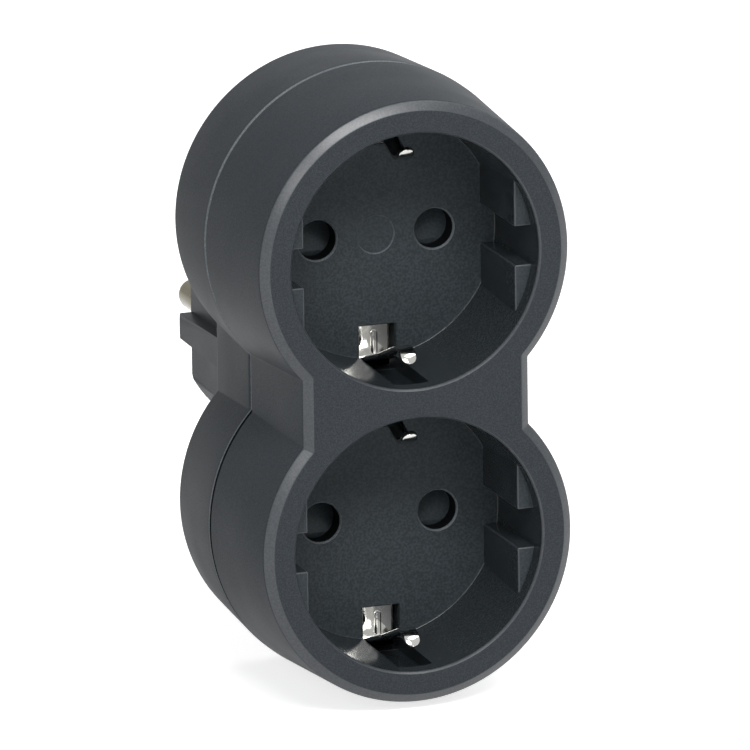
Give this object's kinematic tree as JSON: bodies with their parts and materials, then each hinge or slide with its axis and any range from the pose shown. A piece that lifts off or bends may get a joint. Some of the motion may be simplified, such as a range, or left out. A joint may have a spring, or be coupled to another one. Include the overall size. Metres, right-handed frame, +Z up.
{
  "type": "multi socket adapter",
  "caption": "Plug-in adapter that turns one earthed wall socket into two, with round wells one above the other, earth clips and sliding shutters.",
  "frame": {"origin": "centre of the plug's end face, between the roots of the two pins", "axes": "+Y along the plug's pins, the sockets open to -Y, +Z up along the row of sockets, +X across the pins"},
  "size_m": [0.0526, 0.0769, 0.0974],
  "materials": {
    "dark_plastic": "fine matte grain outside, semi-gloss in the wells",
    "shutter_plastic": "semi-gloss",
    "nickel_plate": "plated, satin",
    "bright_metal": "stamped and plated",
    "brass": "stamped",
    "spring_steel": "bright"
  },
  "bodies": {
    "adapter": {"front_housing": "dark_plastic", "rear_housing": "dark_plastic", "left_plug_pin": "nickel_plate", "right_plug_pin": "nickel_plate", "left_bus_bar": "brass", "right_bus_bar": "brass", "upper_left_contact": "brass", "upper_right_contact": "brass", "lower_left_contact": "brass", "lower_right_contact": "brass", "upper_earth_bracket": "bright_metal", "lower_earth_bracket": "bright_metal", "earth_strap": "bright_metal", "upper_shutter_cover": "shutter_plastic", "lower_shutter_cover": "shutter_plastic", "upper_shutter_spring": "spring_steel", "lower_shutter_spring": "spring_steel", "contact_rivets": "brass", "earth_rivets": "bright_metal", "housing_screws": "spring_steel"},
    "upper_shutter_body": {"upper_shutter": "shutter_plastic"},
    "lower_shutter_body": {"lower_shutter": "shutter_plastic"}
  },
  "joints": [
    {"name": "upper_shutter_slide", "type": "slide", "parent": "adapter", "child": "upper_shutter_body", "axis": [0, 0, -1], "range_m": [0, 0.0062], "stiffness_N_per_m": 120, "springref_m": -0.003, "deforming": ["upper_shutter_spring"]},
    {"name": "lower_shutter_slide", "type": "slide", "parent": "adapter", "child": "lower_shutter_body", "axis": [0, 0, -1], "range_m": [0, 0.0062], "stiffness_N_per_m": 120, "springref_m": -0.003, "deforming": ["lower_shutter_spring"]}
  ]
}
